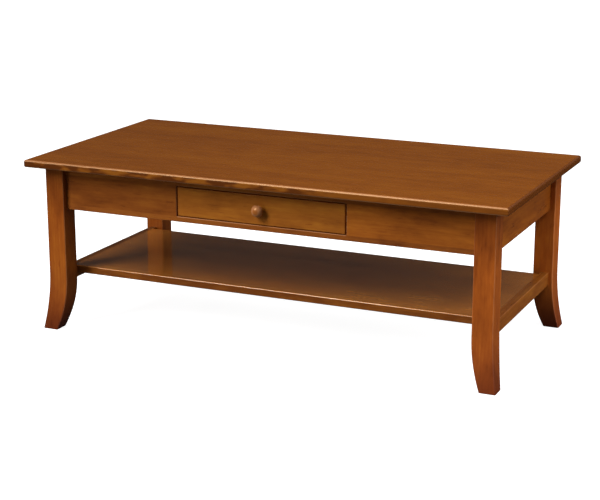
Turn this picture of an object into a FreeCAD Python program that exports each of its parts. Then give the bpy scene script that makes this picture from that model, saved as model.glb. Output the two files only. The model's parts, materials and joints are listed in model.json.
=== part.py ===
import FreeCAD, Part
import Sketcher
import math
import os

# Coffee table with one drawer and a low shelf, on four legs that sweep outwards at the foot.
# Millimetres. The origin is the middle of the table on the floor, +Z is up and the drawer faces -Y.

doc = FreeCAD.newDocument("coffee_table")
sheet = doc.addObject("Spreadsheet::Sheet", "Sheet")

DIMENSIONS = {
    # overall
    "table_length": 1219.2,
    "table_depth": 609.6,
    "table_height": 431.8,
    # top panel
    "top_thick": 19,
    "top_overhang_width": 36.5,
    "top_round_radius": 6,
    "top_under_radius": 5,
    "top_corner_radius": 2,
    # legs, square above and swept outwards below
    "leg_width": 50,
    "leg_round_radius": 3,
    "flare_outer_width": 14.8,
    "flare_outer_height": 150,
    "flare_inner_width": 25,
    "flare_inner_height": 125,
    "foot_ease_radius": 1.5,
    "saw_margin_width": 5,
    # aprons and their tenons
    "apron_height": 107,
    "apron_thick": 19,
    "apron_setback_depth": 14,
    "apron_ease_radius": 1.5,
    "tenon_thick": 9.5,
    "tenon_shoulder_height": 10,
    "mortise_wall_thick": 1.5,
    "mortise_end_gap": 0.5,
    "glue_gap": 0.1,
    # opening for the drawer in the front apron
    "opening_width": 435,
    "opening_arris_width": 1.5,
    "lower_rail_height": 13,
    "upper_rail_height": 20,
    # drawer
    "drawer_gap": 1.5,
    "drawer_side_gap": 2.5,
    "slide_gap": 0.3,
    "drawer_rear_gap": 70,
    "stop_inset_depth": 68,
    "front_thick": 19,
    "front_ease_radius": 2.5,
    "front_lap_thick": 6,
    "side_thick": 12,
    "back_thick": 12,
    "bottom_thick": 6,
    "bottom_raise_height": 8,
    "groove_depth": 6,
    "tail_count": 3,
    "tail_width": 11,
    "tail_slope": 7,
    # runners, kickers and stops
    "guide_thick": 14,
    "guide_height": 45,
    "ledge_width": 18,
    "housing_depth": 6,
    "kicker_width": 20,
    "stop_length": 20,
    "stop_width": 40,
    "stop_catch_height": 8,
    # knob
    "knob_diameter": 30,
    "knob_length": 25,
    "knob_neck_diameter": 15,
    "knob_neck_length": 4,
    "knob_head_height": 12,
    "knob_round_radius": 1.5,
    "knob_bore_depth": 14,
    # shelf and the rails that carry it
    "shelf_height": 148.5,
    "shelf_depth": 400,
    "shelf_thick": 19,
    "shelf_round_radius": 2.5,
    "rail_height": 34.5,
    "rail_thick": 19,
    "rail_setback_depth": 10.5,
    "rail_round_radius": 2.5,
    "rail_shoulder_height": 6,
    "dowel_diameter": 8,
    "dowel_length": 34,
    "dowel_in_rail_length": 14,
    "dowel_pitch_length": 100,
    "dowel_count": 4,
    # corner blocks, top clips and screws
    "block_length": 90,
    "block_thick": 22,
    "block_gap": 2,
    "clip_width": 20,
    "clip_thick": 1.5,
    "clip_drop_height": 8,
    "clip_tongue_length": 8,
    "clip_flange_length": 18,
    "clip_gap": 0.5,
    "screw_diameter": 4,
    "screw_head_diameter": 8,
    "screw_head_thick": 2.5,
    "screw_bite_length": 13,
    "screw_gap": 0.15,
}
for row, (alias, size) in enumerate(DIMENSIONS.items(), start=1):
    sheet.set("A%d" % row, alias)
    sheet.set("B%d" % row, str(size))
    sheet.setAlias("B%d" % row, alias)
doc.recompute()


def dim(alias):
    """Expression for one cell of the sheet."""
    return "Sheet." + alias


def number(expression):
    """Present value of an expression."""
    return float(sheet.evalExpression(str(expression)))


# Places that several pieces share, as expressions on the sheet

HALF_LENGTH = f"({dim('table_length')} / 2)"
HALF_DEPTH = f"({dim('table_depth')} / 2)"
UNDER_TOP = f"({dim('table_height')} - {dim('top_thick')})"
LEG_X = f"({HALF_LENGTH} - {dim('top_overhang_width')} - {dim('leg_width')})"
LEG_Y = f"({HALF_DEPTH} - {dim('top_overhang_width')} - {dim('leg_width')})"
APRON_FACE_X = f"({LEG_X} + {dim('leg_width')} - {dim('apron_setback_depth')})"
APRON_FACE_Y = f"({LEG_Y} + {dim('leg_width')} - {dim('apron_setback_depth')})"
APRON_BACK_X = f"({APRON_FACE_X} - {dim('apron_thick')})"
APRON_BACK_Y = f"({APRON_FACE_Y} - {dim('apron_thick')})"
APRON_BOTTOM = f"({UNDER_TOP} - {dim('apron_height')})"
APRON_IN_LEG = f"({dim('leg_width')} - {dim('apron_setback_depth')} - {dim('apron_thick')})"
TENON_IN_APRON = f"(({dim('apron_thick')} - {dim('tenon_thick')}) / 2)"
TENON_LENGTH = f"({APRON_IN_LEG} + {TENON_IN_APRON} - {dim('mortise_wall_thick')})"
TENON_RISE = f"({dim('lower_rail_height')} + {dim('tenon_shoulder_height')})"
OPENING_HEIGHT = f"({dim('apron_height')} - {dim('lower_rail_height')} - {dim('upper_rail_height')})"
TENON_HEIGHT = f"({OPENING_HEIGHT} - 2 * {dim('tenon_shoulder_height')})"
OPENING_BOTTOM = f"({APRON_BOTTOM} + {dim('lower_rail_height')})"
OPENING_HALF = f"({dim('opening_width')} / 2)"
KERF_HEIGHT = f"({dim('clip_thick')} + {dim('clip_gap')})"
KERF_DEPTH = f"({dim('clip_tongue_length')} + {dim('clip_gap')})"

DRAWER_BOTTOM = f"({OPENING_BOTTOM} + {dim('drawer_gap')})"
DRAWER_HEIGHT = f"({OPENING_HEIGHT} - 2 * {dim('drawer_gap')})"
DRAWER_HALF = f"({OPENING_HALF} - {dim('drawer_side_gap')})"
DRAWER_FACE = f"(-{APRON_FACE_Y})"
DRAWER_SHOULDER = f"({DRAWER_FACE} + {dim('front_thick')})"
DRAWER_REAR = f"({APRON_BACK_Y} - {dim('drawer_rear_gap')})"
BACK_INSIDE = f"({DRAWER_REAR} - {dim('back_thick')})"
BACK_RAISE = f"({dim('bottom_raise_height')} + {dim('bottom_thick')})"
BACK_HEIGHT = f"({DRAWER_HEIGHT} - {BACK_RAISE})"
TAIL_TIP = f"({DRAWER_FACE} + {dim('front_lap_thick')})"
LEDGE_RISE = f"({dim('lower_rail_height')} + {dim('drawer_gap')} - {dim('slide_gap')})"

RAIL_FACE = f"({LEG_X} + {dim('leg_width')} - {dim('rail_setback_depth')})"
RAIL_INSIDE = f"({RAIL_FACE} - {dim('rail_thick')})"
RAIL_BOTTOM = f"({dim('shelf_height')} - {dim('rail_height')})"
RAIL_TENON_IN = f"(({dim('rail_thick')} - {dim('tenon_thick')}) / 2)"
SHELF_MIDDLE = f"({dim('shelf_height')} - {dim('shelf_thick')} / 2)"

PLANES = {"XY": "XY_Plane", "XZ": "XZ_Plane", "YZ": "YZ_Plane"}


# Tools of the trade: bodies, outlines, prisms, bores and eased edges

def piece(label, x="0", y="0", z="0", turn=0):
    """A body with its own place; x, y and z are expressions and turn is about the upright axis."""
    body = doc.addObject("PartDesign::Body", label)
    body.Label = label
    body.Placement.Rotation = FreeCAD.Rotation(FreeCAD.Vector(0, 0, 1), turn)
    for axis, expression in zip("xyz", (x, y, z)):
        body.setExpression("Placement.Base." + axis, expression)
    return body


def sketch_on(body, name, plane, start):
    """A sketch parallel to one of the body's own planes, start away along the positive axis."""
    sketch = body.newObject("Sketcher::SketchObject", name)
    role = PLANES[plane]
    base = [item for item in body.Origin.OriginFeatures if item.Role == role][0]
    sketch.AttachmentSupport = [(base, "")]
    sketch.MapMode = "FlatFace"
    toward = "-" if plane == "XZ" else ""
    sketch.setExpression("AttachmentOffset.Base.z", f"{toward}({start})")
    return sketch


def tie(sketch, geometry, point, u, v):
    """Ties one point of a sketch to two expressions, measured from the sketch's origin."""
    for kind, axis, expression in (("DistanceX", -2, u), ("DistanceY", -1, v)):
        if str(expression) == "0":
            sketch.addConstraint(Sketcher.Constraint("PointOnObject", geometry, point, axis))
        else:
            value = number(expression)
            index = sketch.addConstraint(Sketcher.Constraint(kind, -1, 1, geometry, point, value))
            sketch.setExpression("Constraints[%d]" % index, str(expression))


def arc_centre(kind, first, last):
    """Centre of the arc from first to last, tangent to an upright side or centred on the upright axis."""
    if kind == "axis":
        return FreeCAD.Vector(0, (last.dot(last) - first.dot(first)) / (2 * (last.y - first.y)), 0)
    joined, far = (first, last) if kind == "before" else (last, first)
    sweep = far - joined
    return joined + FreeCAD.Vector(sweep.Length ** 2 / (2 * sweep.x), 0, 0)


def outline(sketch, points, arcs=None):
    """A closed outline through points. arcs maps a side to "before" or "after", where it runs on from the
    upright side before or after it, or to "axis", where its centre is on the sketch's upright axis."""
    arcs = arcs or {}
    spots = [FreeCAD.Vector(number(u), number(v), 0) for u, v in points]
    count = len(points)
    starts = []
    for side in range(count):
        first, last = spots[side], spots[(side + 1) % count]
        if side not in arcs:
            sketch.addGeometry(Part.LineSegment(first, last))
            starts.append(1)
            continue
        centre = arc_centre(arcs[side], first, last)
        circle = Part.Circle(centre, FreeCAD.Vector(0, 0, 1), (first - centre).Length)
        begin, end = circle.parameter(first), circle.parameter(last)
        forward = (end - begin) % (2 * math.pi) < math.pi
        sketch.addGeometry(Part.ArcOfCircle(circle, *((begin, end) if forward else (end, begin))))
        starts.append(1 if forward else 2)
    for side in range(count):
        following = (side + 1) % count
        smooth = arcs.get(side) == "after" or arcs.get(following) == "before"
        joint = "Tangent" if smooth else "Coincident"
        sketch.addConstraint(Sketcher.Constraint(joint, side, 3 - starts[side], following, starts[following]))
        if arcs.get(side) == "axis":
            sketch.addConstraint(Sketcher.Constraint("PointOnObject", side, 3, -2))
    for side, (u, v) in enumerate(points):
        tie(sketch, side, starts[side], u, v)


def box_outline(u, v, width, height):
    """Corners of a rectangle from its lower left corner and its sides."""
    return [(u, v), (f"{u} + {width}", v), (f"{u} + {width}", f"{v} + {height}"), (u, f"{v} + {height}")]


def prism(body, name, plane, points, start, depth, cut=False, arcs=None):
    """Pads an outline, or cuts it away, from start over depth along the plane's positive axis."""
    sketch = sketch_on(body, name + "_outline", plane, start)
    outline(sketch, points, arcs)
    return extrude(body, name, plane, sketch, depth, cut)


def extrude(body, name, plane, sketch, depth, cut):
    """Pad or pocket of a finished sketch along the plane's positive axis."""
    feature = body.newObject("PartDesign::Pocket" if cut else "PartDesign::Pad", name)
    feature.Profile = sketch
    feature.Reversed = (plane == "XZ") != cut
    feature.setExpression("Length", depth)
    doc.recompute()
    return feature


def bore(body, name, plane, spots, diameter, start, depth):
    """Round holes at spots, from start over depth along the plane's positive axis."""
    sketch = sketch_on(body, name + "_circles", plane, start)
    for index, (u, v) in enumerate(spots):
        centre = FreeCAD.Vector(number(u), number(v), 0)
        sketch.addGeometry(Part.Circle(centre, FreeCAD.Vector(0, 0, 1), number(diameter) / 2))
        tie(sketch, index, 3, u, v)
        size = sketch.addConstraint(Sketcher.Constraint("Diameter", index, number(diameter)))
        sketch.setExpression("Constraints[%d]" % size, diameter)
    return extrude(body, name, plane, sketch, depth, True)


def ease(body, name, radius, wanted):
    """Rounds the edges of the body's last feature that the test wanted picks."""
    doc.recompute()
    base = body.Tip
    edges = ["Edge%d" % (i + 1) for i, edge in enumerate(base.Shape.Edges) if wanted(edge)]
    fillet = body.newObject("PartDesign::Fillet", name)
    fillet.Base = (base, edges)
    fillet.setExpression("Radius", radius)
    doc.recompute()


def lies_at(edge, axis, expression):
    """True where a whole edge lies at one height or offset of the body's own frame."""
    low, high = getattr(edge.BoundBox, axis + "Min"), getattr(edge.BoundBox, axis + "Max")
    return max(abs(low - number(expression)), abs(high - number(expression))) < 0.001


def runs_along(edge, axis):
    """True for an edge whose greatest extent is along the axis."""
    spans = {name: getattr(edge.BoundBox, name + "Length") for name in "XYZ"}
    return max(spans, key=spans.get) == axis


def stands_upright(edge):
    """True for a straight edge along Z."""
    return max(edge.BoundBox.XLength, edge.BoundBox.YLength) < 0.001


# Places of the fasteners under the top

KICKER_INSIDE = f"({OPENING_HALF} - {dim('kicker_width')})"
BLOCK_BOTTOM = f"({UNDER_TOP} - {dim('block_thick')})"
BLOCK_CUT = f"(2 * {APRON_IN_LEG} + {dim('block_gap')})"
BLOCK_BORE = f"(({BLOCK_CUT} + {dim('block_length')}) / 4)"
CLIP_X = f"(({APRON_BACK_X} + {OPENING_HALF}) / 2)"
CLIP_SCREW = f"({dim('clip_flange_length')} / 2)"
CORNERS = {"front_left": (-1, -1), "front_right": (1, -1), "rear_left": (-1, 1), "rear_right": (1, 1)}
BLOCK_SPOTS = [
    (f"{sx} * ({APRON_BACK_X} - {BLOCK_BORE})", f"{sy} * ({APRON_BACK_Y} - {BLOCK_BORE})")
    for sx, sy in CORNERS.values()
]
CLIPS = [
    (f"{sx} * {CLIP_X}", f"{sy} * {APRON_BACK_Y}", turn)
    for sx in (-1, 1)
    for sy, turn in ((-1, 180), (1, 0))
]
CLIPS += [(f"{sx} * {APRON_BACK_X}", "0", -90 * sx) for sx in (-1, 1)]
CLIP_SPOTS = [
    (f"{sx} * {CLIP_X}", f"{sy} * ({APRON_BACK_Y} - {CLIP_SCREW})")
    for sx in (-1, 1)
    for sy in (-1, 1)
]
CLIP_SPOTS += [(f"{sx} * ({APRON_BACK_X} - {CLIP_SCREW})", "0") for sx in (-1, 1)]
STOP_Y = f"({dim('stop_inset_depth')} - {APRON_BACK_Y})"
STOP_DROP = f"({dim('upper_rail_height')} + {dim('drawer_gap')} + {dim('stop_catch_height')})"
STOP_SPOT = ("0", f"({STOP_Y} + {dim('stop_length')} / 2)")
STOP_RECESS = f"({STOP_DROP} - {dim('block_thick')})"
SCREW_BORE = f"({dim('screw_diameter')} + 2 * {dim('screw_gap')})"
HEAD_BORE = f"({dim('screw_head_diameter')} + 2 * {dim('screw_gap')})"


# Top panel: one slab with rounded edges, bored from below for its screws

top = piece("top_panel", z=UNDER_TOP)
slab = box_outline(f"-{HALF_LENGTH}", f"-{HALF_DEPTH}", dim("table_length"), dim("table_depth"))
prism(top, "top_slab", "XY", slab, "0", dim("top_thick"))
ease(top, "top_upper_edge", dim("top_round_radius"), lambda edge: lies_at(edge, "Z", dim("top_thick")))
ease(top, "top_lower_edge", dim("top_under_radius"), lambda edge: lies_at(edge, "Z", "0"))
ease(top, "top_corners", dim("top_corner_radius"), stands_upright)
PILOTS = BLOCK_SPOTS + CLIP_SPOTS + [STOP_SPOT]
PILOT_DEPTH = f"({dim('screw_bite_length')} + {dim('mortise_end_gap')})"
bore(top, "top_pilots", "XY", PILOTS, SCREW_BORE, "0", PILOT_DEPTH)


# Legs: sawn to the same sweep from two faces, then rounded along their length and mortised

LEG_OUTLINE = [
    (dim("leg_width"), UNDER_TOP),
    (dim("leg_width"), dim("flare_outer_height")),
    (f"{dim('leg_width')} + {dim('flare_outer_width')}", "0"),
    (dim("flare_inner_width"), "0"),
    ("0", dim("flare_inner_height")),
    ("0", UNDER_TOP),
]
LEG_ARCS = {1: "before", 3: "after"}
LEG_WIDEST = f"({dim('leg_width')} + {dim('flare_outer_width')})"
OUTER_WASTE = [
    (dim("leg_width"), f"{UNDER_TOP} + {dim('saw_margin_width')}"),
    (dim("leg_width"), dim("flare_outer_height")),
    (f"{LEG_WIDEST}", "0"),
    (f"{LEG_WIDEST}", f"-{dim('saw_margin_width')}"),
    (f"{LEG_WIDEST} + {dim('saw_margin_width')}", f"-{dim('saw_margin_width')}"),
    (f"{LEG_WIDEST} + {dim('saw_margin_width')}", f"{UNDER_TOP} + {dim('saw_margin_width')}"),
]
INNER_WASTE = [
    (dim("flare_inner_width"), "0"),
    ("0", dim("flare_inner_height")),
    ("0", f"{dim('flare_inner_height')} + {dim('saw_margin_width')}"),
    (f"-{dim('saw_margin_width')}", f"{dim('flare_inner_height')} + {dim('saw_margin_width')}"),
    (f"-{dim('saw_margin_width')}", f"-{dim('saw_margin_width')}"),
    (dim("flare_inner_width"), f"-{dim('saw_margin_width')}"),
]
MORTISE_SIDE = f"({APRON_IN_LEG} + {TENON_IN_APRON} - {dim('glue_gap')})"
MORTISE_WIDTH = f"({dim('tenon_thick')} + 2 * {dim('glue_gap')})"
MORTISE_DEPTH = f"({TENON_LENGTH} + {dim('mortise_end_gap')})"
RAIL_IN_LEG = f"({dim('leg_width')} - {dim('rail_setback_depth')} - {dim('rail_thick')})"
RAIL_MORTISE_SIDE = f"({RAIL_IN_LEG} + {RAIL_TENON_IN} - {dim('glue_gap')})"
RAIL_TENON_HEIGHT = f"({dim('rail_height')} - 2 * {dim('rail_shoulder_height')})"


def mortise(leg, name, plane, side, bottom, height):
    """A slot in one of the two inner faces of a leg, a little larger than its tenon."""
    low = f"{bottom} - {dim('glue_gap')}"
    slot = box_outline(side, low, MORTISE_WIDTH, f"{height} + 2 * {dim('glue_gap')}")
    prism(leg, name, plane, slot, "0", MORTISE_DEPTH, cut=True)


def table_leg(label, sx, sy):
    """One leg. In its own frame the inner faces are x = 0 and y = 0 and the foot sweeps to +x and +y."""
    turn = {(1, 1): 0, (-1, 1): 90, (-1, -1): 180, (1, -1): 270}[sx, sy]
    leg = piece(label, f"{sx} * {LEG_X}", f"{sy} * {LEG_Y}", "0", turn)
    prism(leg, label + "_first_face", "XZ", LEG_OUTLINE, "0", LEG_WIDEST, arcs=LEG_ARCS)
    across = (f"-{dim('saw_margin_width')}", f"{LEG_WIDEST} + 2 * {dim('saw_margin_width')}")
    prism(leg, label + "_outer_waste", "YZ", OUTER_WASTE, *across, cut=True, arcs={1: "before"})
    prism(leg, label + "_inner_waste", "YZ", INNER_WASTE, *across, cut=True, arcs={0: "after"})
    ease(leg, label + "_long_edges", dim("leg_round_radius"), lambda edge: edge.BoundBox.ZLength > 1)
    ease(leg, label + "_sole_edges", dim("foot_ease_radius"), lambda edge: lies_at(edge, "Z", "0"))
    apron_tenon = (f"{APRON_BOTTOM} + {TENON_RISE}", TENON_HEIGHT)
    mortise(leg, label + "_mortise_x", "YZ", MORTISE_SIDE, *apron_tenon)
    mortise(leg, label + "_mortise_y", "XZ", MORTISE_SIDE, *apron_tenon)
    rail_plane = "XZ" if sx == sy else "YZ"
    rail_tenon = (f"{RAIL_BOTTOM} + {dim('rail_shoulder_height')}", RAIL_TENON_HEIGHT)
    mortise(leg, label + "_mortise_rail", rail_plane, RAIL_MORTISE_SIDE, *rail_tenon)


for corner, (sx, sy) in CORNERS.items():
    table_leg("leg_" + corner, sx, sy)


# Aprons: each frame is x along the board, y from its outer face inwards, z up from its lower edge

def apron_board(label, x, y, turn, left, right, bottom, height, tenons=()):
    """A board of the apron from left to right, with a tenon at each end that is named."""
    board = piece(label, x, y, APRON_BOTTOM, turn)
    face = box_outline(left, bottom, f"({right} - ({left}))", height)
    prism(board, label + "_board", "XZ", face, "0", dim("apron_thick"))
    for end in tenons:
        foot = f"({left} - {TENON_LENGTH})" if end == "left" else right
        cheek = box_outline(foot, TENON_RISE, TENON_LENGTH, TENON_HEIGHT)
        prism(board, f"{label}_tenon_{end}", "XZ", cheek, TENON_IN_APRON, dim("tenon_thick"))
    return board


def clip_kerf(board, label, left, right):
    """The saw cut along the inside of an apron that the top's clips hook into."""
    low = f"{dim('apron_height')} - {dim('clip_drop_height')} - {KERF_HEIGHT}"
    cut = box_outline(left, low, f"({right} - ({left}))", KERF_HEIGHT)
    prism(board, label + "_kerf", "XZ", cut, f"{dim('apron_thick')} - {KERF_DEPTH}", KERF_DEPTH, cut=True)


def guide_housing(board, label, left):
    """The shallow slot in the inside of a board that holds the end of a runner's guide."""
    width = f"{dim('guide_thick')} + 2 * {dim('glue_gap')}"
    height = f"{dim('guide_height')} + {dim('glue_gap')} - {dim('lower_rail_height')}"
    slot = box_outline(f"{left} - {dim('glue_gap')}", dim("lower_rail_height"), width, height)
    depth = f"({dim('housing_depth')} + {dim('glue_gap')})"
    prism(board, label, "XZ", slot, f"{dim('apron_thick')} - {depth}", depth, cut=True)


def lower_outer_edge(edge):
    """The long lower edges of a board whose bottom is the bottom of the apron."""
    return runs_along(edge, "X") and lies_at(edge, "Z", "0")


def opening_arris(board, label, plane, edge, into, start, length):
    """Planes the sharp front edge off one side of the opening; into is the sign of the way into the wood."""
    inside = f"{edge} {into} {dim('opening_arris_width')}"
    corner = [("0", edge), ("0", inside), (dim("opening_arris_width"), edge)]
    if plane == "XY":
        corner = [(v, u) for u, v in corner]
    prism(board, label + "_arris", plane, corner, start, length, cut=True)


GUIDE_LEFT = f"(-{OPENING_HALF} - {dim('guide_thick')})"
UPPER_EDGE = f"({dim('apron_height')} - {dim('upper_rail_height')})"
ALONG_OPENING = (f"-{OPENING_HALF}", dim("opening_width"))
front = dict(x="0", y=f"-{APRON_FACE_Y}", turn=0)
upper = apron_board("front_rail_upper", left=f"-{LEG_X}", right=LEG_X, height=dim("upper_rail_height"),
                    bottom=UPPER_EDGE, **front)
clip_kerf(upper, "front_rail_upper", f"-{LEG_X}", LEG_X)
opening_arris(upper, "front_rail_upper", "YZ", UPPER_EDGE, "+", *ALONG_OPENING)
lower = apron_board("front_rail_lower", left=f"-{LEG_X}", right=LEG_X, height=dim("lower_rail_height"),
                    bottom="0", **front)
ease(lower, "front_rail_lower_edge", dim("apron_ease_radius"), lower_outer_edge)
opening_arris(lower, "front_rail_lower", "YZ", dim("lower_rail_height"), "-", *ALONG_OPENING)
UP_OPENING = (dim("lower_rail_height"), OPENING_HEIGHT)
for side, left, right, housing, into in (("left", f"-{LEG_X}", f"-{OPENING_HALF}", GUIDE_LEFT, "-"),
                                         ("right", OPENING_HALF, LEG_X, OPENING_HALF, "+")):
    label = "front_apron_" + side
    board = apron_board(label, left=left, right=right, bottom=dim("lower_rail_height"), height=OPENING_HEIGHT,
                        tenons=(side,), **front)
    guide_housing(board, label + "_housing", housing)
    opening_arris(board, label, "XY", right if side == "left" else left, into, *UP_OPENING)

rear = apron_board("rear_apron", "0", APRON_FACE_Y, 180, f"-{LEG_X}", LEG_X, "0", dim("apron_height"),
                   ("left", "right"))
clip_kerf(rear, "rear_apron", f"-{LEG_X}", LEG_X)
guide_housing(rear, "rear_apron_housing_left", GUIDE_LEFT)
guide_housing(rear, "rear_apron_housing_right", OPENING_HALF)
ease(rear, "rear_apron_edge", dim("apron_ease_radius"), lower_outer_edge)
for side, sx in (("left", -1), ("right", 1)):
    label = "end_apron_" + side
    board = apron_board(label, f"{sx} * {APRON_FACE_X}", "0", 90 * sx, f"-{LEG_Y}", LEG_Y, "0",
                        dim("apron_height"), ("left", "right"))
    clip_kerf(board, label, f"-{LEG_Y}", LEG_Y)
    ease(board, label + "_edge", dim("apron_ease_radius"), lower_outer_edge)


# Corner blocks: flat three-sided blocks glued into the corners of the apron, clear of the legs

for corner, (sx, sy) in CORNERS.items():
    label = "corner_block_" + corner
    turn = {(-1, -1): 0, (1, -1): 90, (1, 1): 180, (-1, 1): 270}[sx, sy]
    block = piece(label, f"{sx} * {APRON_BACK_X}", f"{sy} * {APRON_BACK_Y}", BLOCK_BOTTOM, turn)
    plan = [("0", BLOCK_CUT), (BLOCK_CUT, "0"), (dim("block_length"), "0"), ("0", dim("block_length"))]
    prism(block, label + "_plan", "XY", plan, "0", dim("block_thick"))
    bore(block, label + "_bore", "XY", [(BLOCK_BORE, BLOCK_BORE)], SCREW_BORE, "0", dim("block_thick"))


# Shelf, set between two end rails and held to them by dowels

DOWEL_SPOTS = [
    (f"(({index} - ({dim('dowel_count')} - 1) / 2) * {dim('dowel_pitch_length')})", SHELF_MIDDLE)
    for index in range(int(DIMENSIONS["dowel_count"]))
]
DOWEL_BORE = f"({dim('dowel_diameter')} + 2 * {dim('glue_gap')})"
DOWEL_IN_SHELF = f"({dim('dowel_length')} - {dim('dowel_in_rail_length')} + {dim('mortise_end_gap')})"
shelf = piece("shelf_panel")
board = box_outline(f"-{RAIL_INSIDE}", f"-{dim('shelf_depth')} / 2", f"2 * {RAIL_INSIDE}", dim("shelf_depth"))
prism(shelf, "shelf_board", "XY", board, f"{dim('shelf_height')} - {dim('shelf_thick')}", dim("shelf_thick"))
ease(shelf, "shelf_edges", dim("shelf_round_radius"), lambda edge: runs_along(edge, "X"))
for side, start in (("left", f"-{RAIL_INSIDE}"), ("right", f"{RAIL_INSIDE} - {DOWEL_IN_SHELF}")):
    bore(shelf, "shelf_bores_" + side, "YZ", DOWEL_SPOTS, DOWEL_BORE, start, DOWEL_IN_SHELF)

def rail_outer_edge(edge):
    """The two long edges of a rail's outer face."""
    return runs_along(edge, "X") and lies_at(edge, "Y", "0")


for side, sx in (("left", -1), ("right", 1)):
    label = "shelf_rail_" + side
    rail = piece(label, f"{sx} * {RAIL_FACE}", "0", RAIL_BOTTOM, 90 * sx)
    bar = box_outline(f"-{LEG_Y}", "0", f"2 * {LEG_Y}", dim("rail_height"))
    prism(rail, label + "_bar", "XZ", bar, "0", dim("rail_thick"))
    ease(rail, label + "_edges", dim("rail_round_radius"), rail_outer_edge)
    reach = f"({LEG_Y} + {TENON_LENGTH})"
    cheek = box_outline(f"-{reach}", dim("rail_shoulder_height"), f"2 * {reach}", RAIL_TENON_HEIGHT)
    prism(rail, label + "_tenons", "XZ", cheek, RAIL_TENON_IN, dim("tenon_thick"))
    spots = [(along, f"{height} - {RAIL_BOTTOM}") for along, height in DOWEL_SPOTS]
    depth = f"({dim('dowel_in_rail_length')} + {dim('mortise_end_gap')})"
    bore(rail, label + "_bores", "XZ", spots, DOWEL_BORE, f"{dim('rail_thick')} - {depth}", depth)


# Drawer runners: a ledge under each side of the drawer and a guide beside it, housed in both aprons

RUNNER_LENGTH = f"(2 * {APRON_BACK_Y})"
RUNNER_SECTION = [
    ("0", "0"),
    (f"{dim('guide_thick')} + {dim('ledge_width')}", "0"),
    (f"{dim('guide_thick')} + {dim('ledge_width')}", LEDGE_RISE),
    (dim("guide_thick"), LEDGE_RISE),
    (dim("guide_thick"), dim("guide_height")),
    ("0", dim("guide_height")),
]
GUIDE_TONGUE = box_outline("0", LEDGE_RISE, dim("guide_thick"), f"{dim('guide_height')} - {LEDGE_RISE}")
for side, sx, turn in (("left", -1, 0), ("right", 1, 180)):
    label = "drawer_runner_" + side
    outer = f"{sx} * ({OPENING_HALF} + {dim('guide_thick')})"
    runner = piece(label, outer, "0", APRON_BOTTOM, turn)
    prism(runner, label + "_section", "XZ", RUNNER_SECTION, f"-{APRON_BACK_Y}", RUNNER_LENGTH)
    prism(runner, label + "_tongues", "XZ", GUIDE_TONGUE, f"-{APRON_BACK_Y} - {dim('housing_depth')}",
          f"{RUNNER_LENGTH} + 2 * {dim('housing_depth')}")

    label = "drawer_kicker_" + side
    edge = KICKER_INSIDE if sx > 0 else f"-{OPENING_HALF}"
    kicker = piece(label, edge, "0", f"{UNDER_TOP} - {dim('upper_rail_height')}")
    section = box_outline("0", "0", dim("kicker_width"), dim("upper_rail_height"))
    prism(kicker, label + "_section", "XZ", section, f"-{APRON_BACK_Y}", RUNNER_LENGTH)

    label = "rear_stop_" + side
    inner = f"{sx} * {OPENING_HALF}" if sx < 0 else f"{OPENING_HALF} - {dim('ledge_width')}"
    stop = piece(label, inner, f"{DRAWER_REAR} + {dim('slide_gap')}", f"{APRON_BOTTOM} + {LEDGE_RISE}")
    plan = box_outline("0", "0", dim("ledge_width"), dim("stop_length"))
    prism(stop, label + "_block", "XY", plan, "0", dim("stop_length"))

stop = piece("drawer_stop_block", "0", STOP_Y, f"{UNDER_TOP} - {STOP_DROP}")
plan = box_outline(f"-{dim('stop_width')} / 2", "0", dim("stop_width"), dim("stop_length"))
prism(stop, "drawer_stop_block_plan", "XY", plan, "0", STOP_DROP)
STOP_BORE = [("0", f"{dim('stop_length')} / 2")]
bore(stop, "drawer_stop_block_bore", "XY", STOP_BORE, SCREW_BORE, "0", STOP_DROP)
bore(stop, "drawer_stop_block_recess", "XY", STOP_BORE, HEAD_BORE, "0", STOP_RECESS)


# Drawer: sides dovetailed into the front and through the back, with the bottom slid into grooves

def dovetails(body, name, shoulder, tip, rise, height):
    """A row of tails from shoulder to tip, evenly spaced over height from rise; they widen to the tip."""
    pitch = f"({height} / {dim('tail_count')})"
    middle = f"({rise} + {pitch} / 2)"
    half = f"({dim('tail_width')} / 2)"
    spread = f"({half} + abs({tip} - ({shoulder})) / {dim('tail_slope')})"
    tail = [
        (shoulder, f"{middle} - {half}"),
        (tip, f"{middle} - {spread}"),
        (tip, f"{middle} + {spread}"),
        (shoulder, f"{middle} + {half}"),
    ]
    first = prism(body, name, "YZ", tail, "0", dim("side_thick"))
    row = body.newObject("PartDesign::LinearPattern", name + "_row")
    row.Originals = [first]
    row.Direction = (first.Profile[0], ["V_Axis"])
    row.setExpression("Length", f"{pitch} * ({dim('tail_count')} - 1)")
    row.setExpression("Occurrences", dim("tail_count"))
    body.Tip = row
    doc.recompute()


def drawer_side(label, x, groove_at):
    """One side of the drawer; groove_at is where the groove starts across its thickness."""
    side = piece(label, x, "0", DRAWER_BOTTOM)
    plank = box_outline(DRAWER_SHOULDER, "0", f"({BACK_INSIDE} - {DRAWER_SHOULDER})", DRAWER_HEIGHT)
    prism(side, label + "_plank", "YZ", plank, "0", dim("side_thick"))
    heel = box_outline(BACK_INSIDE, "0", dim("back_thick"), BACK_RAISE)
    prism(side, label + "_heel", "YZ", heel, "0", dim("side_thick"))
    dovetails(side, label + "_front_tails", DRAWER_SHOULDER, TAIL_TIP, "0", DRAWER_HEIGHT)
    dovetails(side, label + "_back_tails", BACK_INSIDE, DRAWER_REAR, BACK_RAISE, BACK_HEIGHT)
    length = f"({DRAWER_REAR} - {TAIL_TIP})"
    groove = box_outline(TAIL_TIP, dim("bottom_raise_height"), length, dim("bottom_thick"))
    prism(side, label + "_groove", "YZ", groove, groove_at, dim("groove_depth"), cut=True)
    return side


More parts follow.
